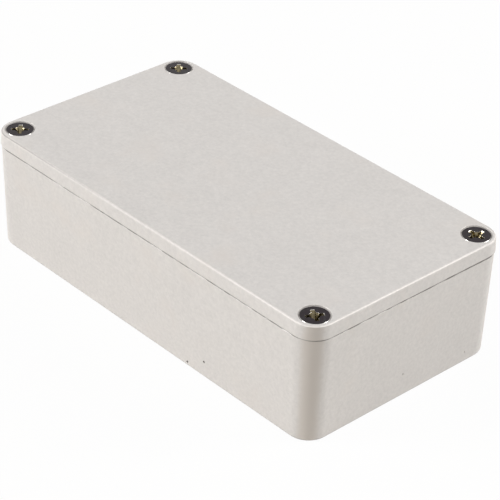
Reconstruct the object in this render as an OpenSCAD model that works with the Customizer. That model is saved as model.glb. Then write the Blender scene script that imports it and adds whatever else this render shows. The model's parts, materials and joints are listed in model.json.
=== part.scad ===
// Die cast aluminium box: a drafted, open-topped casting, a rimmed lid and four flathead screws.
// Millimetres. The origin is the middle of the flat base, +X along the box, +Z out of the lid.

/* [Box] */
// Length over the parting line, where the casting is widest
box_length = 112.4; // [80:0.1:200]
// Width over the parting line
box_width = 60.5; // [45:0.1:120]
// Height of the closed box
box_height = 31; // [24:0.5:80]
// Radius of the casting's upright corners at the parting line
corner_radius = 6.1; // [5.6:0.1:7]
// Radius where the sides turn under into the base
base_edge_radius = 0.8; // [0.4:0.1:2]

/* [Casting] */
// Thickness of the side walls
wall = 2; // [1.6:0.1:2.4]
// Thickness of the floor
floor_thickness = 2; // [1.6:0.1:3]
// Slope of the side walls that lets the casting leave its die, in degrees
draft_angle = 1.5; // [0.5:0.1:2]
// Radius between the side walls and the floor, inside
floor_fillet = 1.5; // [0.5:0.1:2]

/* [Lid] */
// Height of the lid's rim, from the parting line to the top face
rim_height = 3.7; // [3.4:0.1:5]
// Radius of the lid's upright corners, a little tighter than those of the casting under it
lid_corner_radius = 5.6; // [5.4:0.1:6.4]
// Thickness of the lid's plate
plate_thickness = 2; // [1.6:0.1:2.6]
// Slope of the lid's rim, in degrees
rim_draft = 3; // [0.5:0.5:5]
// Radius of the edge round the top face
top_edge_radius = 0.6; // [0.3:0.1:1]
// How far the locating lip reaches into the box
lip_depth = 1.4; // [0.8:0.1:2]
// Width of the locating lip
lip_width = 1.5; // [1:0.1:2]
// Clearance between the lip and what it drops into
lip_gap = 0.25; // [0.15:0.05:0.4]

/* [Screws] */
// Distance from the short ends to each screw's axis
end_inset = 4.8; // [4.7:0.05:5.4]
// Distance from the long sides to each screw's axis
side_inset = 5.05; // [4.8:0.05:5.4]
// Diameter of the screw's head
head_diameter = 6.95; // [6.4:0.05:7]
// Diameter of the thread over its crests
thread_diameter = 3.45; // [2.9:0.05:3.6]
// Length of the screw with its head
screw_length = 12.7; // [9.5:0.1:16]
// Full angle of the countersunk head, in degrees
head_angle = 82; // [82:1:90]
// How deep the head's face lies under the lid's face
head_sink = 0.15; // [0.1:0.05:0.3]

/* [Hidden] */
$fn = 96;

eps = 0.01;
parting_z = box_height - rim_height;
half_length = box_length / 2;
half_width = box_width / 2;
seam_chamfer = 0.15;
cast_colour = [0.83, 0.81, 0.78];
screw_colour = [0.34, 0.33, 0.33];

boss_radius = 4.2;
boss_draft = 1;
boss_reach = 5;
bore_radius = thread_diameter / 2 + 0.03;
bore_depth = screw_length - rim_height + 3.5;
bore_lead_in = 0.4;
ejector_radius = 2.5;
ejector_depth = 0.15;

lip_start = wall + lip_gap;
lip_chamfer = 0.3;
recess_fillet = 0.8;

head_rim = 0.1;
seat_gap = 0.02;
hole_radius = thread_diameter / 2 + 0.2;
head_slope = tan(head_angle / 2);
head_radius = head_diameter / 2;
shank_radius = thread_diameter / 2;
head_height = head_rim + (head_radius - shank_radius) / head_slope;
point_chamfer = 0.5;
recess_depth = 2.1;
recess_radius = 2.15;
recess_tip_radius = 0.8;
recess_wing = 1;
recess_core_radius = 1.2;
recess_core_tip = 0.45;

screw_x = half_length - end_inset;
screw_y = half_width - side_inset;

// A block with a rounded-rectangle outline whose sides follow a profile all the way round.
// The profile's x runs outwards from the corner's axis, and its y runs up from bottom to top.
module swept_block(half_x, half_y, radius, bottom, top) {
    inner_x = half_x - radius;
    inner_y = half_y - radius;
    for (turn = [0, 180]) rotate([0, 0, turn]) {
        translate([inner_x, inner_y, 0]) rotate_extrude(angle = 90) children();
        translate([-inner_x, inner_y, 0]) rotate([0, 0, 90]) rotate_extrude(angle = 90) children();
        translate([-inner_x, inner_y, 0]) rotate([90, 0, 90]) linear_extrude(2 * inner_x) children();
        translate([inner_x, inner_y, 0]) rotate([90, 0, 0]) linear_extrude(2 * inner_y) children();
    }
    translate([-inner_x, -inner_y, bottom]) cube([2 * inner_x, 2 * inner_y, top - bottom]);
}

// Profile of a drafted side, r wide at the top, with its bottom corner rounded.
module drafted_profile(r, bottom, top, slope, fillet, chamfer) {
    foot = r - (top - bottom) * tan(slope);
    arc_x = foot + fillet * tan(slope) - fillet / cos(slope);
    arc_y = bottom + fillet;
    rim = chamfer > 0 ? [[r - chamfer * tan(slope), top - chamfer], [r - chamfer, top]] : [[r, top]];
    polygon(concat(
        [[0, bottom], [arc_x, bottom], [arc_x, arc_y]],
        [[arc_x + fillet * cos(slope), arc_y - fillet * sin(slope)]],
        rim,
        [[0, top]]
    ));
    intersection() {
        translate([arc_x, arc_y]) circle(fillet);
        translate([arc_x, bottom]) square(fillet);
    }
}

// Runs its children once for each screw, turned so that +X and +Y point at the nearest walls.
module at_each_screw() {
    for (side = [-1, 1], end = [-1, 1])
        translate([end * screw_x, side * screw_y, 0])
            mirror([end < 0 ? 1 : 0, 0, 0])
                mirror([0, side < 0 ? 1 : 0, 0])
                    children();
}

// A column with a round nose towards the middle of the box and flat flanks that run to both walls.
module corner_column(radius_low, radius_high, bottom, top) {
    profile = [[0, bottom], [radius_low, bottom], [radius_high, top], [0, top]];
    rotate([0, 0, 180]) rotate_extrude(angle = 90) polygon(profile);
    mirror([1, 0, 0]) translate([0, boss_reach, 0]) rotate([90, 0, 0])
        linear_extrude(boss_reach) polygon(profile);
    mirror([0, 1, 0]) rotate([90, 0, 90]) linear_extrude(boss_reach) polygon(profile);
    translate([0, 0, bottom]) cube([boss_reach, boss_reach, top - bottom]);
}

// The steel core that shapes the inside: the cavity less the four screw bosses.
module box_core() {
    core_top = parting_z + 1;
    core_radius = corner_radius - wall;
    growth = tan(draft_angle);
    difference() {
        swept_block(half_length - wall + growth, half_width - wall + growth, core_radius + growth,
                    floor_thickness, core_top)
            drafted_profile(core_radius + growth, floor_thickness, core_top, draft_angle,
                            floor_fillet, 0);
        at_each_screw()
            corner_column(boss_radius + core_top * tan(boss_draft), boss_radius, 0, core_top + 1);
    }
}

// Blind hole for a screw, tapped in the boss from the parting line down.
module boss_bore() {
    drill_tip = bore_radius / tan(59);
    translate([0, 0, parting_z - bore_depth]) {
        cylinder(h = bore_depth + 1, r = bore_radius);
        translate([0, 0, -drill_tip]) cylinder(h = drill_tip, r1 = 0, r2 = bore_radius);
    }
    translate([0, 0, parting_z - bore_lead_in])
        cylinder(h = bore_lead_in + eps, r1 = bore_radius, r2 = bore_radius + bore_lead_in);
}

// Shallow round marks that the ejector pins leave on a casting's inner face.
module ejector_marks(z) {
    for (x = [-0.33, 0, 0.33], y = [-0.3, 0.3])
        translate([x * box_length, y * box_width, z]) cylinder(h = ejector_depth + 1, r = ejector_radius);
}

module box_body() {
    color(cast_colour)
        difference() {
            swept_block(half_length, half_width, corner_radius, 0, parting_z)
                drafted_profile(corner_radius, 0, parting_z, draft_angle, base_edge_radius, seam_chamfer);
            box_core();
            at_each_screw() boss_bore();
            ejector_marks(floor_thickness - ejector_depth);
        }
}

// Clearance hole and countersink, turned as one shape that runs on above the lid's top face.
module countersunk_hole() {
    over = 1;
    bottom = parting_z - lip_depth - over;
    sink_radius = head_radius + seat_gap + (head_sink + head_rim) * head_slope;
    sink_depth = (sink_radius - hole_radius) / head_slope;
    rotate_extrude()
        polygon([
            [0, bottom],
            [hole_radius, bottom],
            [hole_radius, box_height - sink_depth],
            [sink_radius + over * head_slope, box_height + over],
            [0, box_height + over]
        ]);
}

module lid() {
    lip_bottom = parting_z - lip_depth;
    color(cast_colour)
        difference() {
            union() {
                lid_rim();
                lid_lip(lip_bottom);
            }
            lid_recess(lip_bottom);
            at_each_screw() countersunk_hole();
        }
}

// Locating lip: the block that drops into the box, cut back round the four bosses.
module lid_lip(bottom) {
    column_radius = boss_radius + lip_gap + 0.1;
    difference() {
        swept_block(half_length - lip_start, half_width - lip_start, corner_radius - lip_start,
                    bottom, parting_z + 1)
            drafted_profile(corner_radius - lip_start, bottom, parting_z + 1, draft_angle, lip_chamfer, 0);
        at_each_screw() corner_column(column_radius, column_radius, bottom - 1, parting_z);
    }
}

// The space inside the lip and under the plate, with a pad left round each screw.
module lid_recess(lip_bottom) {
    recess_start = lip_start + lip_width;
    pad_radius = boss_radius + lip_gap + lip_width;
    bottom = plate_thickness - box_height;
    difference() {
        mirror([0, 0, 1])
            swept_block(half_length - recess_start, half_width - recess_start,
                        corner_radius - recess_start, bottom, 1 - lip_bottom)
                drafted_profile(corner_radius - recess_start, bottom, 1 - lip_bottom, 0,
                                recess_fillet, 0);
        at_each_screw() corner_column(pad_radius, pad_radius, lip_bottom - 2, box_height);
    }
}

// The outside of the lid, upside down in the profile so that the rounded corner comes on top.
module lid_rim() {
    translate([0, 0, box_height])
        mirror([0, 0, 1])
            swept_block(half_length, half_width, lid_corner_radius, 0, rim_height)
                drafted_profile(lid_corner_radius, 0, rim_height, rim_draft, top_edge_radius,
                                seam_chamfer);
}

// Cross recess: four wings cut to a cone, round a smaller conical core.
module cross_recess() {
    translate([0, 0, -recess_depth]) {
        intersection() {
            cylinder(h = recess_depth + eps, r1 = recess_tip_radius, r2 = recess_radius);
            for (turn = [0, 90]) rotate([0, 0, turn])
                translate([-recess_radius, -recess_wing / 2, 0])
                    cube([2 * recess_radius, recess_wing, recess_depth + 1]);
        }
        cylinder(h = recess_depth + eps, r1 = recess_core_tip, r2 = recess_core_radius);
    }
}

// Flathead machine screw, its face at z = 0 and its point down.
module flathead_screw() {
    color(screw_colour)
        difference() {
            rotate_extrude() polygon([
                [0, 0],
                [head_radius, 0],
                [head_radius, -head_rim],
                [shank_radius, -head_height],
                [shank_radius, point_chamfer - screw_length],
                [shank_radius - point_chamfer, -screw_length],
                [0, -screw_length]
            ]);
            cross_recess();
        }
}

// One screw in its place: end is -1 or 1 for left or right, and side is -1 or 1 for front or rear.
// The recesses stand at different angles, as they come to rest when driven home.
module lid_screw(end, side, turn) {
    translate([end * screw_x, side * screw_y, box_height - head_sink]) rotate([0, 0, turn]) flathead_screw();
}

box_body();
lid();
lid_screw(-1, -1, 48);  // lid_screw_front_left
lid_screw(1, -1, 62);  // lid_screw_front_right
lid_screw(-1, 1, 48);  // lid_screw_rear_left
lid_screw(1, 1, 88);  // lid_screw_rear_right
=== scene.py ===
"""Dresses a die cast aluminium box: its cast skin, parting line, lid edge and recessed lid screws."""

import json
import math
import random

import bpy
from bpy.props import FloatProperty, FloatVectorProperty, IntProperty, PointerProperty
from mathutils import Matrix, Vector

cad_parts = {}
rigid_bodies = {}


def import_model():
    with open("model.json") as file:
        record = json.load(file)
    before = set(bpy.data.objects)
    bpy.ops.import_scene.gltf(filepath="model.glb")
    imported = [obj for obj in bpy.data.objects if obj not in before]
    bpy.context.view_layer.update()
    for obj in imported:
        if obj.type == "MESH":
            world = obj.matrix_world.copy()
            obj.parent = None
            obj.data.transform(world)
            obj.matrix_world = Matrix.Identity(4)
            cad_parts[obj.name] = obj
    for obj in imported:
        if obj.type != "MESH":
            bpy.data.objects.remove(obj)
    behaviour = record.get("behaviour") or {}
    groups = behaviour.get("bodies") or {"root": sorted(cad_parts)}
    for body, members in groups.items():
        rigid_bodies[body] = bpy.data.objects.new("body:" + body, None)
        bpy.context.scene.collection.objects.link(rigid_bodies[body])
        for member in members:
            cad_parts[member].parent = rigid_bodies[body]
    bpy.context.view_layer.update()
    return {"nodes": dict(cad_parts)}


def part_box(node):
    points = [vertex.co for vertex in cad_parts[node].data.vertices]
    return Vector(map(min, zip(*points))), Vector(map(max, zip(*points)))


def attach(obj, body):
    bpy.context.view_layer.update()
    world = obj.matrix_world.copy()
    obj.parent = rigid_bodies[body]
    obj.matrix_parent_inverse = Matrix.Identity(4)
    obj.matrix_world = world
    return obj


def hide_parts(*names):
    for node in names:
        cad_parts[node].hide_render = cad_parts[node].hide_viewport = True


bl_info = {
    "name": "Die Cast Box",
    "version": (1, 0, 0),
    "blender": (4, 5, 0),
    "location": "View3D > Sidebar > Die Cast Box",
    "description": "Finishes a die cast aluminium box, its lid and its recessed lid screws",
    "category": "Add Mesh",
}

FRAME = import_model()
MM = 0.001

HALF_LENGTH, HALF_WIDTH, PARTING_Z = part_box("box_body")[1]
LID_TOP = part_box("lid")[1].z
# Lean of the body's walls from upright.
DRAFT = math.radians(1.5)

# Angle of each screw's cross recess, in degrees.
SCREWS = {
    "lid_screw_front_left": 48.0,
    "lid_screw_front_right": 62.0,
    "lid_screw_rear_left": 48.0,
    "lid_screw_rear_right": 88.0,
}
SCREW_LOW, SCREW_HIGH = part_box("lid_screw_front_right")
SCREW_X = (SCREW_LOW.x + SCREW_HIGH.x) / 2
SCREW_Y = -(SCREW_LOW.y + SCREW_HIGH.y) / 2
HEAD_RADIUS = (SCREW_HIGH.x - SCREW_LOW.x) / 2
THREAD_RADIUS = 1.72 * MM
HALF_HEAD_ANGLE = math.radians(41)

# Blowholes in the body: the side, the place along it, the height and the radius in millimetres,
# and how much painted shade fills the hole, from 0 to 1.
BLOWHOLES = (
    ("long side", 21.8, 4.4, 0.3, 0.9),
    ("long side", 16.1, 1.3, 0.3, 0.8),
    ("long side", -31.0, 7.5, 0.12, 0.3),
    ("right end", -0.4, 6.4, 0.2, 0.3),
    ("right end", 20.3, 3.0, 0.22, 0.35),
)


# ---------------------------------------------------------------- settings


class CastingSettings(bpy.types.PropertyGroup):
    """Skin of the body and the lid, as the die leaves it."""

    colour: FloatVectorProperty(
        name="Colour",
        description="Colour of the bare cast metal",
        subtype="COLOR",
        size=3,
        default=(0.665, 0.636, 0.610),
    )
    metallic: FloatProperty(
        name="Metal",
        description="How far the skin mirrors its surroundings, from oxide to bare metal",
        subtype="FACTOR",
        default=0.35,
        min=0,
        max=1,
    )
    roughness: FloatProperty(
        name="Roughness",
        description="Roughness of the cast skin",
        subtype="FACTOR",
        default=0.42,
        min=0,
        max=1,
    )
    grain: FloatProperty(
        name="Grain",
        description="Size of the fine grain in the skin, in millimetres",
        default=0.35,
        min=0.05,
        max=2,
    )
    grain_depth: FloatProperty(
        name="Grain depth",
        description="Depth of the fine grain, in millimetres",
        default=0.006,
        min=0,
        max=0.1,
    )
    wave_depth: FloatProperty(
        name="Wave depth",
        description="Depth of the slow waves in the cast faces, in millimetres",
        default=0.012,
        min=0,
        max=0.2,
    )
    nicks: IntProperty(
        name="Nicks",
        description="Small chips along the parting line",
        default=26,
        min=0,
        max=80,
    )


class ScrewSettings(bpy.types.PropertyGroup):
    """Flathead screws with a cross recess."""

    # The head's near-black is a painted reflection of dark surroundings on bright plated steel.
    plating: FloatVectorProperty(
        name="Plating",
        description="Colour of the dark plating on the head's face",
        subtype="COLOR",
        size=3,
        default=(0.012, 0.006, 0.01),
    )
    recess: FloatVectorProperty(
        name="Recess",
        description="Colour of the plating inside the cross recess",
        subtype="COLOR",
        size=3,
        default=(0.24, 0.205, 0.125),
    )
    # Bright colour for the painted glints on the head's rim and the recess bevels.
    edge: FloatVectorProperty(
        name="Edge",
        description="Colour where the plating has rubbed bright along the edges",
        subtype="COLOR",
        size=3,
        default=(0.78, 0.76, 0.72),
    )
    thread_pitch: FloatProperty(
        name="Thread pitch",
        description="Distance from one crest of the thread to the next, in millimetres",
        default=0.794,
        min=0.3,
        max=1.2,
    )
    thread_depth: FloatProperty(
        name="Thread depth",
        description="Height of the thread over its root, in millimetres",
        default=0.43,
        min=0.1,
        max=0.6,
    )
    recess_depth: FloatProperty(
        name="Recess depth",
        description="Depth of the cross recess, in millimetres",
        default=2.1,
        min=1,
        max=2.5,
    )
    recess_edge: FloatProperty(
        name="Recess edge",
        description="Rounding of the recess's edges, in millimetres",
        default=0.1,
        min=0.01,
        max=0.15,
    )
    recess_reach: FloatProperty(
        name="Recess reach",
        description="Length of one arm of the recess from the axis, in millimetres",
        default=2.15,
        min=1,
        max=2.6,
    )


class StageSettings(bpy.types.PropertyGroup):
    """Camera, lamps and floor."""

    azimuth: FloatProperty(
        name="Azimuth",
        description="Bearing of the camera, from the long side towards the right end",
        subtype="ANGLE",
        default=math.radians(46.526),
    )
    elevation: FloatProperty(
        name="Elevation",
        description="Height of the camera over the horizon",
        subtype="ANGLE",
        default=math.radians(32.569),
    )
    roll: FloatProperty(
        name="Roll",
        description="Tilt of the camera about its own axis",
        subtype="ANGLE",
        default=math.radians(2.24),
    )
    distance: FloatProperty(
        name="Distance",
        description="From the camera to the point it looks at",
        subtype="DISTANCE",
        unit="LENGTH",
        default=0.4989,
    )
    aim: FloatVectorProperty(
        name="Aim",
        description="Point that the camera looks at",
        subtype="TRANSLATION",
        size=3,
        default=(0.00324, 0.00088, 0.01276),
    )
    lens: FloatProperty(
        name="Lens",
        description="Focal length in millimetres",
        unit="CAMERA",
        default=151.62,
    )
    left_light: FloatProperty(
        name="Left light",
        description="Power of the soft light on the long side",
        subtype="POWER",
        default=26.4,
    )
    right_light: FloatProperty(
        name="Right light",
        description="Power of the soft light on the right end",
        subtype="POWER",
        default=22.9,
    )
    fill: FloatProperty(
        name="Fill",
        description="Strength of the even light from all round",
        subtype="FACTOR",
        default=0.01,
        min=0,
        max=1,
    )


# ---------------------------------------------------------------- mesh tools


def deselect():
    """Leaves no object selected, so that the next operator acts on its own work alone."""
    for obj in bpy.context.view_layer.objects:
        obj.select_set(False)


def only(obj):
    """Selects one object and makes it active."""
    deselect()
    obj.select_set(True)
    bpy.context.view_layer.objects.active = obj
    return obj


def added(name):
    """Names the object that an operator has just added."""
    obj = bpy.context.object
    obj.name = name
    obj.data.name = name
    return obj


def settle(obj):
    """Puts an object's place, turn and size into its mesh."""
    only(obj)
    bpy.ops.object.transform_apply(location=True, rotation=True, scale=True)
    return obj


def edit(obj, chooser=None, mode="FACE"):
    """Enters edit mode with only the wanted faces, edges or points selected."""
    only(obj)
    bpy.ops.object.mode_set(mode="EDIT")
    bpy.ops.mesh.select_mode(type=mode)
    bpy.ops.mesh.select_all(action="SELECT" if chooser is None else "DESELECT")
    if chooser is None:
        return
    bpy.ops.object.mode_set(mode="OBJECT")
    mesh = obj.data
    items = {"FACE": mesh.polygons, "EDGE": mesh.edges, "VERT": mesh.vertices}[mode]
    for item in items:
        item.select = chooser(item)
    bpy.ops.object.mode_set(mode="EDIT")


def done():
    """Leaves edit mode."""
    bpy.ops.object.mode_set(mode="OBJECT")


def modify(obj, kind, **settings):
    """Adds one modifier, sets it and applies it."""
    only(obj)
    bpy.ops.object.modifier_add(type=kind)
    modifier = obj.modifiers[-1]
    for key, value in settings.items():
        setattr(modifier, key, value)
    bpy.ops.object.modifier_apply(modifier=modifier.name)
    return obj


def combine(obj, other, operation):
    """Boolean of two closed meshes. The second one is used up."""
    modify(obj, "BOOLEAN", operation=operation, object=other, solver="EXACT")
    bpy.data.objects.remove(other)
    return obj


def merge(obj, distance=0.001 * MM):
    """Joins points that lie together, and turns all faces outwards."""
    edit(obj)
    bpy.ops.mesh.remove_doubles(threshold=distance)
    bpy.ops.mesh.normals_make_consistent(inside=False)
    done()
    return obj


def smooth(obj, angle=math.radians(35)):
    """Smooth shading whose flat faces stay flat up to their edges."""
    only(obj)
    bpy.ops.object.shade_smooth_by_angle(angle=angle)
    return modify(obj, "WEIGHTED_NORMAL", mode="FACE_AREA", weight=100, keep_sharp=True)


def turned(name, rings, segments):
    """A closed turned solid: the first ring's disc drawn down through the others."""
    radius, height = rings[0]
    deselect()
    bpy.ops.mesh.primitive_circle_add(
        vertices=segments, radius=radius, fill_type="NGON", location=(0, 0, height)
    )
    obj = settle(added(name))
    edit(obj)
    for new_radius, new_height in rings[1:]:
        bpy.ops.mesh.extrude_region_move(
            TRANSFORM_OT_translate={"value": (0, 0, new_height - height)}
        )
        k = new_radius / radius
        bpy.ops.transform.resize(value=(k, k, 1), center_override=(0, 0, new_height))
        radius, height = new_radius, new_height
    bpy.ops.mesh.select_all(action="SELECT")
    bpy.ops.mesh.normals_make_consistent(inside=False)
    done()
    return obj


def cast_copy(node, name):
    """A copy of a casting's frame mesh, its loose triangles joined into one skin."""
    source = FRAME["nodes"][node]
    obj = source.copy()
    obj.data = source.data.copy()
    obj.name = name
    obj.data.name = name
    obj.parent = None
    for key in [k for k in obj.keys() if k.startswith("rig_")]:
        del obj[key]
    bpy.context.scene.collection.objects.link(obj)
    only(obj)
    bpy.ops.mesh.customdata_custom_splitnormals_clear()
    obj.data.materials.clear()
    return merge(obj)


def place(piece, node, slot, paint):
    """Finishes a piece: its material, its body, and hiding the frame node that it stands for. The
    slot argument is not used.
    """
    piece.data.materials.clear()
    piece.data.materials.append(paint)
    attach(piece, "root")
    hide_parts(node)
    return piece


# ---------------------------------------------------------------- materials


class Value:
    """A number, colour, vector or shader inside a node tree, used in Python expressions."""

    def __init__(self, nodes, socket):
        self.nodes = nodes
        self.socket = socket

    def __add__(self, other):
        return self.nodes.maths("ADD", self, other)

    __radd__ = __add__

    def __sub__(self, other):
        return self.nodes.maths("SUBTRACT", self, other)

    def __rsub__(self, other):
        return self.nodes.maths("SUBTRACT", other, self)

    def __mul__(self, other):
        return self.nodes.maths("MULTIPLY", self, other)

    __rmul__ = __mul__

    def __truediv__(self, other):
        return self.nodes.maths("DIVIDE", self, other)

    def absolute(self):
        return self.nodes.maths("ABSOLUTE", self)

    def larger(self, other):
        return self.nodes.maths("MAXIMUM", self, other)

    def between(self, low, high):
        """0 at low and under, 1 at high and over, smooth between them."""
        return self.nodes.node(
            "ShaderNodeMapRange",
            {"interpolation_type": "SMOOTHSTEP"},
            {"Value": self, "From Min": low, "From Max": high},
            "Result",
        )


class Nodes:
    """Fills one node tree, of a material or of the world."""

    def __init__(self, tree):
        self.tree = tree
        self.tree.nodes.clear()

    def put(self, socket, value):
        """Links a value to a socket, or sets the socket to a plain number or colour."""
        if isinstance(value, Value):
            self.tree.links.new(value.socket, socket)
        elif hasattr(socket.default_value, "__len__"):
            value = list(value)
            if len(value) < len(socket.default_value):
                value.append(1.0)
            socket.default_value = value
        else:
            socket.default_value = value

    def node(self, kind, settings, inputs, output=0):
        """Adds a node: first its settings, then its sockets. Gives one of its outputs."""
        made = self.tree.nodes.new(kind)
        for key, value in settings.items():
            setattr(made, key, value)
        for key, value in inputs.items():
            self.put(made.inputs[key], value)
        return Value(self, made.outputs[output])

    def surface(self, kind, shader):
        """Ends the tree with its output node."""
        self.put(self.tree.nodes.new(kind).inputs["Surface"], shader)

    def maths(self, operation, *values):
        return self.node("ShaderNodeMath", {"operation": operation}, dict(enumerate(values)))

    def axes(self, vector):
        """The three numbers of a vector."""
        parts = self.node("ShaderNodeSeparateXYZ", {}, {0: vector})
        return [Value(self, output) for output in parts.socket.node.outputs]

    def looked_at(self):
        """1 where the camera, a mirror or glass looks, and 0 for light that falls on the box."""
        camera, glossy, glass = (
            self.node("ShaderNodeLightPath", {}, {}, f"Is {ray} Ray")
            for ray in ("Camera", "Glossy", "Transmission")
        )
        return camera.larger(glossy.larger(glass))


class Paint(Nodes):
    """Builds one material, from the place and the direction of each point of the surface."""

    def __init__(self, name):
        self.material = bpy.data.materials.new(name)
        self.material.use_nodes = True
        super().__init__(self.material.node_tree)
        self.where = self.node("ShaderNodeTexCoord", {}, {}, "Object")
        self.x, self.y, self.z = self.axes(self.where)
        facing = self.node("ShaderNodeTexCoord", {}, {}, "Normal")
        self.face_x, self.face_y, self.face_z = self.axes(facing)

    def mix(self, factor, first, second):
        """Colour that goes from the first to the second as the factor goes from 0 to 1."""
        inputs = {0: factor, 6: first, 7: second}
        return self.node("ShaderNodeMix", {"data_type": "RGBA"}, inputs, 2)

    def scale(self, colour, factor):
        inputs = {0: colour, "Scale": factor}
        return self.node("ShaderNodeVectorMath", {"operation": "SCALE"}, inputs)

    def stretched(self, scale):
        """The place of a point, stretched along the axes for a drawn-out pattern."""
        return self.node("ShaderNodeMapping", {}, {"Vector": self.where, "Scale": scale})

    def noise(self, size, detail=2.0, roughness=0.5, place=None):
        """Cloudy noise round 0.5, whose clouds have the given size in metres."""
        vector = place or self.where
        inputs = {"Vector": vector, "Scale": 1 / size, "Detail": detail, "Roughness": roughness}
        return self.node("ShaderNodeTexNoise", {"noise_dimensions": "3D"}, inputs)

    def from_point(self, point):
        """How far a place is from one point, in metres."""
        inputs = {0: self.where, 1: point}
        return self.node("ShaderNodeVectorMath", {"operation": "DISTANCE"}, inputs, "Value")

    def from_axis(self, across, along):
        """How far a place is from an upright axis, given its distances from it both ways."""
        squares = self.maths("POWER", across, 2) + self.maths("POWER", along, 2)
        return self.maths("SQRT", squares)

    def bump(self, height, distance, below=None):
        inputs = {"Height": height, "Distance": distance, "Strength": 1.0}
        if below is not None:
            inputs["Normal"] = below
        return self.node("ShaderNodeBump", {}, inputs)

    def finished(self, **inputs):
        """Ends the material with one Principled shader."""
        sockets = {key.replace("_", " "): value for key, value in inputs.items()}
        shader = self.node("ShaderNodeBsdfPrincipled", {}, sockets)
        self.surface("ShaderNodeOutputMaterial", shader)
        return self.material


# The skin's mean tone, and how strongly each pattern changes it.
MEAN_TONE = 1.012
BLOTCH_TONE = 0.05
FLOW_TONE = 0.07
SPECK_TONE = 0.26

# Tints that multiply the metal's colour, and colours that take its place.
WARM_TINT = (1.02, 0.985, 0.955)
# Painted shade: a darker, warmer tint for the rounded upright corners.
CORNER_SHADE_TINT = (0.975, 0.94, 0.9)
# Painted shade for the gap between lid and body.
SEAM_SHADE_COLOUR = (0.16, 0.15, 0.14)
# Painted shade for the countersinks.
COUNTERSINK_SHADE = (0.3, 0.28, 0.265)
# Painted shade inside the blowholes.
BLOWHOLE_SHADE = (0.07, 0.065, 0.06)
# Second tone of the screw face's painted dark reflection, in random patches.
PATCHY_DARK_REFLECTION = (0.03, 0.027, 0.03)
# Darker olive mixed in patches into the recess colour.
DARK_OLIVE = (0.12, 0.1, 0.06)

COUNTERSINK_RADIUS = 3.73 * MM


def tinted(colour, factors):
    """A plain colour, multiplied channel by channel."""
    return [channel * factor for channel, factor in zip(colour, factors)]


def blowhole(side, along, height, radius):
    """Where a blowhole's centre is on its leaning side, and its radius, in metres."""
    lean = (PARTING_Z - height * MM) * math.tan(DRAFT)
    if side == "long side":
        return Vector((along * MM, lean - HALF_WIDTH, height * MM)), radius * MM
    return Vector((HALF_LENGTH - lean, along * MM, height * MM)), radius * MM


def parting_line_shade(paint, corner_shade):
    """Painted shade along the parting line of lid and body: patchy, deeper at the corners and on the
    rear half of the right end, lighter on the long sides near their ends.
    """
    patchy_shade = paint.noise(3.5 * MM, 3, 0.6).between(0.36, 0.64)
    far_end = paint.face_x.between(0.3, 0.9) * paint.y.between(0, 20 * MM)
    deeper_shade = far_end.larger(corner_shade * 0.5)
    reach = (0.115 + patchy_shade * 0.035 + deeper_shade * 0.06) * MM
    # The painted shade is lighter on the long sides near their ends, beside the screws.
    closed = paint.x.absolute().between(40 * MM, 50 * MM) * paint.face_y.absolute().between(0.8, 0.99)
    darkness = 0.6 + patchy_shade * 0.24 + deeper_shade * 0.14 - closed * 0.35
    distance = (paint.z - PARTING_Z).absolute() / reach
    return (1 - distance.between(0.8, 1.2)) * darkness


def lid_finish(paint, base, rough, painted_shade):
    """Painted shade in the rougher countersinks, and a painted highlight along the top edge: brighter
    towards the right end and on the end, dimmed by painted shade at the left end.
    """
    across, along = paint.x.absolute() - SCREW_X, paint.y.absolute() - SCREW_Y
    from_screw = paint.from_axis(across, along)
    hole = 1 - from_screw.between(COUNTERSINK_RADIUS, COUNTERSINK_RADIUS + 0.03 * MM)
    countersink = hole * (1 - paint.z.between(LID_TOP - 0.05 * MM, LID_TOP - 0.01 * MM))
    # Painted shade in the countersinks. They are also made rougher.
    base = paint.mix(countersink * 0.6, base, COUNTERSINK_SHADE)
    rough = rough + countersink * 0.4

    face_z = paint.face_z
    rounded = face_z.between(0.05, 0.3) * (1 - face_z.between(0.9, 0.995)) * (1 - hole)
    rough = rough + rounded * 0.35
    # Painted highlight on the top edge's rounding, where it leans about 48°. It grows brighter
    # towards the right end and on the end, and painted shade dims it at the left end.
    painted_edge_highlight = (1 - (face_z - 0.66).absolute().between(0.02, 0.3)) * (1 - hole)
    on_end = paint.face_x.between(0.2, 0.5) * (1 - paint.y.between(10 * MM, 28 * MM))
    left_end = 1 - paint.x.between(-50 * MM, -5 * MM)
    edge_highlight_tone = 0.975 + paint.x * 3.2 + on_end * 0.14 - left_end * 0.24
    return paint.scale(base, 1 + painted_edge_highlight * (edge_highlight_tone - 1)), rough, painted_shade


def body_finish(paint, base, rough, painted_shade):
    """Painted shade along the foot, which is also rougher, and painted shade in the blowholes."""
    # Painted shade along the bottom edge, where the base turns under.
    foot = 1 - paint.z.between(0.1 * MM, 0.8 * MM)
    base = paint.scale(base, 1 - foot * 0.3)
    rough = rough + foot * 0.3
    for side, along, height, radius, darkness in BLOWHOLES:
        centre, radius = blowhole(side, along, height, radius)
        # Painted shade in each blowhole. The mask also makes the hole matt.
        hole = (1 - paint.from_point(centre).between(0.85 * radius, 1.2 * radius)) * darkness
        base = paint.mix(hole, base, BLOWHOLE_SHADE)
        painted_shade = painted_shade.larger(hole)
    return base, rough, painted_shade


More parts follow.
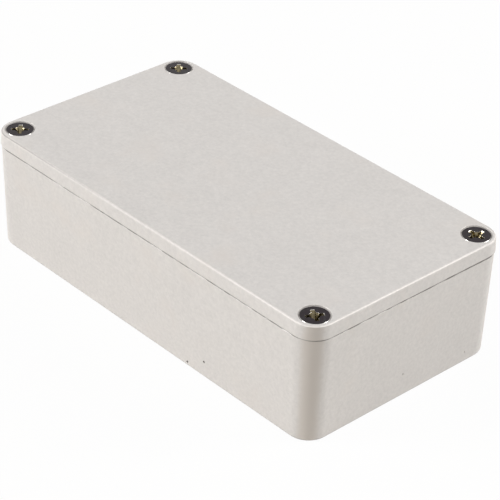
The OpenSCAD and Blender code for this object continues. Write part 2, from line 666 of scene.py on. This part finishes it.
def cast_paint(name, settings, finish):
    """Bare die cast aluminium: grey skin, fine grain and slow waves, with painted shade along the
    parting line and on the rounded corners.

    finish adds what only the lid or only the body has.
    """
    paint = Paint(name)
    blotches = paint.noise(14 * MM, 3)
    flow = paint.noise(5 * MM, 3, 0.6, paint.stretched((1, 1, 0.35)))
    specks = paint.noise(0.9 * MM, 2, 0.7)
    grain = paint.noise(settings.grain * MM, 3, 0.6)
    tone = MEAN_TONE + (blotches - 0.5) * BLOTCH_TONE + (flow - 0.5) * FLOW_TONE
    tone = tone + (specks - 0.5) * SPECK_TONE
    base = paint.scale(list(settings.colour), tone)

    warm = tinted(settings.colour, WARM_TINT)
    base = paint.mix(blotches.between(0.52, 0.75) * 0.5, base, warm)
    # Painted shade on the rounded upright corners, picked by the way the surface faces.
    corner_shade = (paint.face_x * paint.face_y).absolute().between(0.24, 0.5)
    base = paint.mix(corner_shade, base, tinted(settings.colour, CORNER_SHADE_TINT))
    # Painted shade along the parting line. The same mask also lowers the metal and raises the
    # roughness below.
    painted_shade = parting_line_shade(paint, corner_shade)
    base = paint.mix(painted_shade, base, SEAM_SHADE_COLOUR)
    rough = settings.roughness + (grain - 0.5) * 0.14 + (blotches - 0.5) * 0.08
    base, rough, painted_shade = finish(paint, base, rough, painted_shade)

    slow = paint.bump(paint.noise(9 * MM, 1), settings.wave_depth * MM)
    pitted = paint.noise(0.7 * MM, 2, 0.6).between(0.68, 0.78)
    return paint.finished(
        Base_Color=base,
        Metallic=(1 - painted_shade) * settings.metallic,
        Roughness=rough + painted_shade * 0.5,
        Normal=paint.bump(grain - pitted * 1.6, settings.grain_depth * MM, slow),
    )


def screw_paint(name, settings, axis, top):
    """Bright plated steel: a painted dark reflection on the face, lighter olive inside the recess,
    and painted glints where the surface leans about 44°.
    """
    paint = Paint(name)
    from_axis = paint.from_axis(paint.x - axis.x, paint.y - axis.y)
    in_reach = 1 - from_axis.between(0.66 * HEAD_RADIUS, 0.7 * HEAD_RADIUS)
    inside = in_reach * (1 - paint.z.between(top - 0.12 * MM, top - 0.05 * MM))

    tarnish = paint.noise(0.8 * MM, 3, 0.6)
    # Painted dark reflection on the head's face, in random patches of two tones.
    dark = paint.mix(tarnish.between(0.5, 0.75), settings.plating, PATCHY_DARK_REFLECTION)
    # Lighter olive colour inside the cross recess, in patches.
    recess_olive = paint.mix(tarnish.between(0.4, 0.7), settings.recess, DARK_OLIVE)
    # Painted glints: brighter plating where the surface leans about 44°, the slope of the rim and
    # recess bevels that mirrors the lamps.
    slope = 1 - (paint.face_z - 0.72).absolute().between(0.1, 0.3)
    painted_edge_highlight = slope * (1 - inside) * 0.85
    base = paint.mix(painted_edge_highlight, paint.mix(inside, dark, recess_olive), settings.edge)

    marks = paint.noise(0.25 * MM, 2, place=paint.stretched((1, 1, 4)))
    pressed = paint.noise(0.55 * MM, 1)
    return paint.finished(
        Base_Color=base,
        Metallic=1,
        Roughness=0.16 + tarnish.between(0.4, 0.9) * 0.14 + inside * 0.06,
        Normal=paint.bump(marks * 0.1 + pressed * inside, 0.07 * MM),
    )


# ---------------------------------------------------------------- screws


def driver_tip(settings, top):
    """The shape that the cross recess is pressed with: four tapered wings round a cone."""
    reach = settings.recess_reach * MM
    depth = settings.recess_depth * MM
    over = 0.3 * MM
    wing_top, wing_foot = 1.02 * MM, 0.78 * MM
    core_top, core_foot = 1.25 * MM, 0.45 * MM
    reach_foot = 0.8 * MM
    wings = []
    for turn in (0, 90):
        deselect()
        bpy.ops.mesh.primitive_cube_add(size=1, location=(0, 0, top - (depth - over) / 2))
        wing = added("wing")
        wing.dimensions = (2.4 * reach, wing_top, depth + over)
        wing.rotation_euler.z = math.radians(turn)
        settle(wing)
        edit(wing, lambda face: face.normal.z < -0.5)
        k = wing_foot / wing_top
        squeeze = (1, k, 1) if turn == 0 else (k, 1, 1)
        bpy.ops.transform.resize(value=squeeze, center_override=(0, 0, top - depth))
        done()
        wings.append(wing)
    tip = combine(wings[0], wings[1], "UNION")
    tip = combine(tip, tapered("outer_cone", reach, reach_foot, top, depth, over, 64), "INTERSECT")
    return combine(tip, tapered("core_cone", core_top, core_foot, top, depth, over, 48), "UNION")


def tapered(name, radius, foot_radius, top, depth, over, segments):
    """A cone with the given radii at the top and at the foot, drawn on a little over the top."""
    slope = (radius - foot_radius) / depth
    rings = [(radius + slope * over, top + over), (foot_radius, top - depth)]
    return turned(name, rings, segments)


def threaded_shank(settings, top, bottom):
    """Screw thread between two heights, with a pointed lead-in at the end."""
    pitch = settings.thread_pitch * MM
    crest = THREAD_RADIUS
    root = crest - settings.thread_depth * MM
    sunk = root - 0.12 * MM
    deselect()
    bpy.ops.mesh.primitive_plane_add(size=1)
    ridge = added("thread")
    edit(ridge)
    bpy.ops.mesh.delete(type="ONLY_FACE")
    done()
    edit(ridge, lambda edge: edge.index == 0, "EDGE")
    bpy.ops.mesh.subdivide(number_cuts=2)
    done()
    # Radius of each corner of the ridge's section, and its height in pitches.
    section = (
        (sunk, -0.38),
        (root, -0.42),
        (crest, -0.06),
        (crest, 0.06),
        (root, 0.42),
        (sunk, 0.38),
    )
    start = bottom - 1.3 * pitch
    for index, (radius, height) in zip(ordered_loop(ridge.data), section):
        ridge.data.vertices[index].co = Vector((radius, 0, start + height * pitch))
    modify(
        ridge,
        "SCREW",
        axis="Z",
        steps=24,
        render_steps=24,
        iterations=math.ceil((top - bottom) / pitch) + 2,
        screw_offset=pitch,
        use_smooth_shade=False,
    )
    edit(ridge)
    bpy.ops.mesh.fill_holes(sides=0)
    bpy.ops.mesh.select_all(action="SELECT")
    bpy.ops.mesh.normals_make_consistent(inside=False)
    done()
    beyond = 3 * pitch
    core = turned("core", [(root, top + beyond), (root, bottom - beyond)], 48)
    shank = combine(core, ridge, "UNION")
    wide = crest + 0.2 * MM
    point = 0.6 * MM
    sleeve = turned("sleeve", [(wide, top), (wide, bottom + point), (wide - point, bottom)], 48)
    return merge(combine(shank, sleeve, "INTERSECT"))


def ordered_loop(mesh):
    """The points of a single closed loop of edges, in order."""
    links = {}
    for edge in mesh.edges:
        a, b = edge.vertices
        links.setdefault(a, []).append(b)
        links.setdefault(b, []).append(a)
    order = [0]
    while len(order) < len(mesh.vertices):
        order.append(next(v for v in links[order[-1]] if v not in order))
    return order


def rounded_rim(radius, rounding, top):
    """Rings of a rounded upper edge, from the flat face out to nearly the given radius."""
    rings = []
    for step in range(5):
        lean = math.radians(70 * step / 4)
        out = radius - rounding * (1 - math.sin(lean))
        rings.append((out, top - rounding * (1 - math.cos(lean))))
    return rings


def screw_model(settings):
    """One flathead screw on the axis of its own object, with its face at the frame's height."""
    top = SCREW_HIGH.z
    bottom = SCREW_LOW.z
    rim, collar, sunk = 0.1 * MM, 0.25 * MM, 0.15 * MM
    neck = top - rim - (HEAD_RADIUS - THREAD_RADIUS) / math.tan(HALF_HEAD_ANGLE)
    rings = [
        *rounded_rim(HEAD_RADIUS - 0.02 * MM, 0.2 * MM, top),
        (THREAD_RADIUS, neck),
        (THREAD_RADIUS, neck - collar),
    ]
    head = turned("lid_screw", rings, 96)
    head = merge(combine(head, driver_tip(settings, top), "DIFFERENCE"), 0.01 * MM)
    modify(
        head,
        "BEVEL",
        width=settings.recess_edge * MM,
        segments=3,
        limit_method="ANGLE",
        angle_limit=math.radians(38),
    )
    shank = threaded_shank(settings, neck - sunk, bottom)
    return merge(combine(head, shank, "UNION"))


# ---------------------------------------------------------------- castings


def chips(name, count, smallest, largest, seed):
    """Small ragged lumps along the parting line, to cut chips out of a casting's edge."""
    draw = random.Random(seed)
    perimeter = 4 * (HALF_LENGTH + HALF_WIDTH)
    lumps = []
    deselect()
    for index in range(count):
        along = (index + draw.uniform(0.1, 0.9)) * perimeter / count
        x, y = outline_point(along)
        size = draw.uniform(smallest, largest)
        place_on_line = (x, y, PARTING_Z)
        bpy.ops.mesh.primitive_ico_sphere_add(subdivisions=2, radius=size, location=place_on_line)
        lump = added(name)
        lump.rotation_euler = [draw.uniform(0, math.pi) for _ in range(3)]
        lump.scale = (1, draw.uniform(0.6, 1), draw.uniform(0.5, 0.9))
        lumps.append(lump)
    for lump in lumps:
        lump.select_set(True)
    bpy.context.view_layer.objects.active = lumps[0]
    bpy.ops.object.transform_apply(location=True, rotation=True, scale=True)
    bpy.ops.object.join()
    return bpy.context.object


def outline_point(along):
    """A point on the straight sides of the outline, by its distance round it."""
    corner_room = 7 * MM
    reach_x, reach_y = HALF_LENGTH - corner_room, HALF_WIDTH - corner_room
    share = along / (4 * (HALF_LENGTH + HALF_WIDTH)) * 4 * (reach_x + reach_y)
    for side in range(4):
        long_side = side % 2 == 0
        length = 2 * (reach_x if long_side else reach_y)
        if share <= length or side == 3:
            break
        share -= length
    step = share - length / 2
    if long_side:
        return (step, -HALF_WIDTH) if side == 0 else (-step, HALF_WIDTH)
    return (HALF_LENGTH, step) if side == 1 else (-HALF_LENGTH, -step)


def pit(location, radius):
    """A ball that cuts one blowhole into a face."""
    deselect()
    bpy.ops.mesh.primitive_ico_sphere_add(subdivisions=3, radius=radius, location=location)
    return settle(added("pit"))


class DIECAST_OT_body(bpy.types.Operator):
    """Finish the body: one casting with its blowholes, chipped rim and cast skin"""

    bl_idname = "diecast.body"
    bl_label = "Cast body"

    def execute(self, context):
        settings = context.scene.diecast_casting
        body = cast_copy("box_body", "cast_body")
        for side, along, height, radius, _darkness in BLOWHOLES:
            centre, radius = blowhole(side, along, height, radius)
            combine(body, pit(centre, radius), "DIFFERENCE")
        if settings.nicks:
            rim = chips("rim_chips", settings.nicks, 0.1 * MM, 0.2 * MM, seed=3)
            combine(body, rim, "DIFFERENCE")
        smooth(body)
        paint = cast_paint("cast_body_skin", settings, body_finish)
        place(body, "box_body", "cast_body", paint)
        return {"FINISHED"}


class DIECAST_OT_lid(bpy.types.Operator):
    """Finish the lid: one casting with its chipped lower edge and cast skin"""

    bl_idname = "diecast.lid"
    bl_label = "Cast lid"

    def execute(self, context):
        settings = context.scene.diecast_casting
        lid = cast_copy("lid", "cast_lid")
        if settings.nicks:
            rim = chips("lid_chips", settings.nicks, 0.1 * MM, 0.17 * MM, seed=11)
            combine(lid, rim, "DIFFERENCE")
        smooth(lid)
        paint = cast_paint("cast_lid_skin", settings, lid_finish)
        place(lid, "lid", "cast_lid", paint)
        return {"FINISHED"}


class DIECAST_OT_screws(bpy.types.Operator):
    """Make one lid screw with its recess and thread, and copy it to the four corners"""

    bl_idname = "diecast.screws"
    bl_label = "Lid screws"

    def execute(self, context):
        settings = context.scene.diecast_screw
        model = screw_model(settings)
        for node, turn in SCREWS.items():
            low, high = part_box(node)
            axis = (low + high) / 2
            screw = model.copy()
            screw.data = model.data.copy()
            screw.name = node.replace("lid_screw", "flathead_screw")
            screw.data.name = screw.name
            bpy.context.scene.collection.objects.link(screw)
            spin = Matrix.Rotation(math.radians(turn), 4, "Z")
            screw.data.transform(Matrix.Translation((axis.x, axis.y, 0)) @ spin)
            smooth(screw)
            paint = screw_paint(screw.name + "_plating", settings, axis, high.z)
            place(screw, node, "screw_steel", paint)
        bpy.data.objects.remove(model)
        return {"FINISHED"}


# ---------------------------------------------------------------- stage


LAMP_SIZE = (0.62, 1.05)
LAMP_HEIGHT = math.radians(30)
LAMP_DISTANCE = 1.6
LEFT_BEARING = math.radians(-36)
RIGHT_BEARING = math.radians(142)
WHITE = (1, 1, 1)
FLOOR_SIZE = 8
FLOOR_COLOUR = (0.78, 0.745, 0.685)
FLOOR_GLOW = 0.97
SENSOR_WIDTH = 36


def direction(bearing, height):
    """From the box towards a bearing and a height over the horizon."""
    level = math.cos(height)
    return Vector((math.sin(bearing) * level, -math.cos(bearing) * level, math.sin(height)))


def soft_light(name, power, bearing, aim):
    """An oblong soft light at a bearing, turned towards the box."""
    back = direction(bearing, LAMP_HEIGHT)
    data = bpy.data.lights.new(name, "AREA")
    data.shape = "RECTANGLE"
    data.size, data.size_y = LAMP_SIZE
    data.energy = power
    lamp = bpy.data.objects.new(name, data)
    lamp.location = aim + back * LAMP_DISTANCE
    lamp.rotation_euler = back.to_track_quat("Z", "Y").to_euler()
    bpy.context.scene.collection.objects.link(lamp)


def floor_paint():
    """White floor: plain white to the camera and in mirrors, with a trace of the box's shade."""
    material = bpy.data.materials.new("white_floor")
    material.use_nodes = True
    nodes = Nodes(material.node_tree)
    inputs = {"Base Color": FLOOR_COLOUR, "Roughness": 0.9}
    matt = nodes.node("ShaderNodeBsdfPrincipled", {}, inputs)
    glow = nodes.node("ShaderNodeEmission", {}, {"Color": WHITE, "Strength": 1})
    shaders = {0: nodes.looked_at() * FLOOR_GLOW, 1: matt, 2: glow}
    nodes.surface("ShaderNodeOutputMaterial", nodes.node("ShaderNodeMixShader", {}, shaders))
    return material


def studio_world(fill):
    """Even light all round; white where the camera or a mirror sees it."""
    world = bpy.data.worlds.new("studio")
    bpy.context.scene.world = world
    world.use_nodes = True
    sky = Nodes(world.node_tree)
    even = sky.node("ShaderNodeBackground", {}, {"Color": WHITE, "Strength": fill})
    white = sky.node("ShaderNodeBackground", {}, {"Color": WHITE, "Strength": 1})
    shaders = {0: sky.looked_at(), 1: even, 2: white}
    sky.surface("ShaderNodeOutputWorld", sky.node("ShaderNodeMixShader", {}, shaders))


class DIECAST_OT_stage(bpy.types.Operator):
    """Set up the camera, the lamps and the white floor"""

    bl_idname = "diecast.stage"
    bl_label = "Stage"

    def execute(self, context):
        stage = context.scene.diecast_stage
        scene = context.scene
        aim = Vector(stage.aim)
        back = direction(stage.azimuth, stage.elevation)
        data = bpy.data.cameras.new("camera")
        data.lens = stage.lens
        data.sensor_width = SENSOR_WIDTH
        data.clip_start, data.clip_end = 0.01, 20
        camera = bpy.data.objects.new("camera", data)
        scene.collection.objects.link(camera)
        camera.rotation_mode = "QUATERNION"
        level = back.to_track_quat("Z", "Y")
        camera.rotation_quaternion = level @ Matrix.Rotation(stage.roll, 3, "Z").to_quaternion()
        camera.location = aim + back * stage.distance
        scene.camera = camera

        deselect()
        bpy.ops.mesh.primitive_plane_add(size=FLOOR_SIZE, location=(0, 0, 0))
        floor = added("floor")
        floor.data.materials.append(floor_paint())

        studio_world(stage.fill)
        soft_light("left_light", stage.left_light, LEFT_BEARING, aim)
        soft_light("right_light", stage.right_light, RIGHT_BEARING, aim)
        scene.view_settings.view_transform = "Standard"
        return {"FINISHED"}


# ---------------------------------------------------------------- panel


class DIECAST_PT_panel(bpy.types.Panel):
    """Sidebar panel with the pieces of the box and their settings"""

    bl_label = "Die Cast Box"
    bl_idname = "DIECAST_PT_panel"
    bl_space_type = "VIEW_3D"
    bl_region_type = "UI"
    bl_category = "Die Cast Box"

    def draw(self, context):
        groups = (
            (context.scene.diecast_casting, (DIECAST_OT_body, DIECAST_OT_lid)),
            (context.scene.diecast_screw, (DIECAST_OT_screws,)),
            (context.scene.diecast_stage, (DIECAST_OT_stage,)),
        )
        for settings, operators in groups:
            box = self.layout.box()
            for name in settings.__annotations__:
                box.prop(settings, name)
            for operator in operators:
                box.operator(operator.bl_idname)


CLASSES = (
    CastingSettings,
    ScrewSettings,
    StageSettings,
    DIECAST_OT_body,
    DIECAST_OT_lid,
    DIECAST_OT_screws,
    DIECAST_OT_stage,
    DIECAST_PT_panel,
)


def register():
    for item in CLASSES:
        bpy.utils.register_class(item)
    bpy.types.Scene.diecast_casting = PointerProperty(type=CastingSettings)
    bpy.types.Scene.diecast_screw = PointerProperty(type=ScrewSettings)
    bpy.types.Scene.diecast_stage = PointerProperty(type=StageSettings)


def unregister():
    del bpy.types.Scene.diecast_stage
    del bpy.types.Scene.diecast_screw
    del bpy.types.Scene.diecast_casting
    for item in reversed(CLASSES):
        bpy.utils.unregister_class(item)


def main():
    register()
    bpy.ops.diecast.stage()
    bpy.ops.diecast.body()
    bpy.ops.diecast.lid()
    bpy.ops.diecast.screws()


if __name__ == "__main__":
    main()
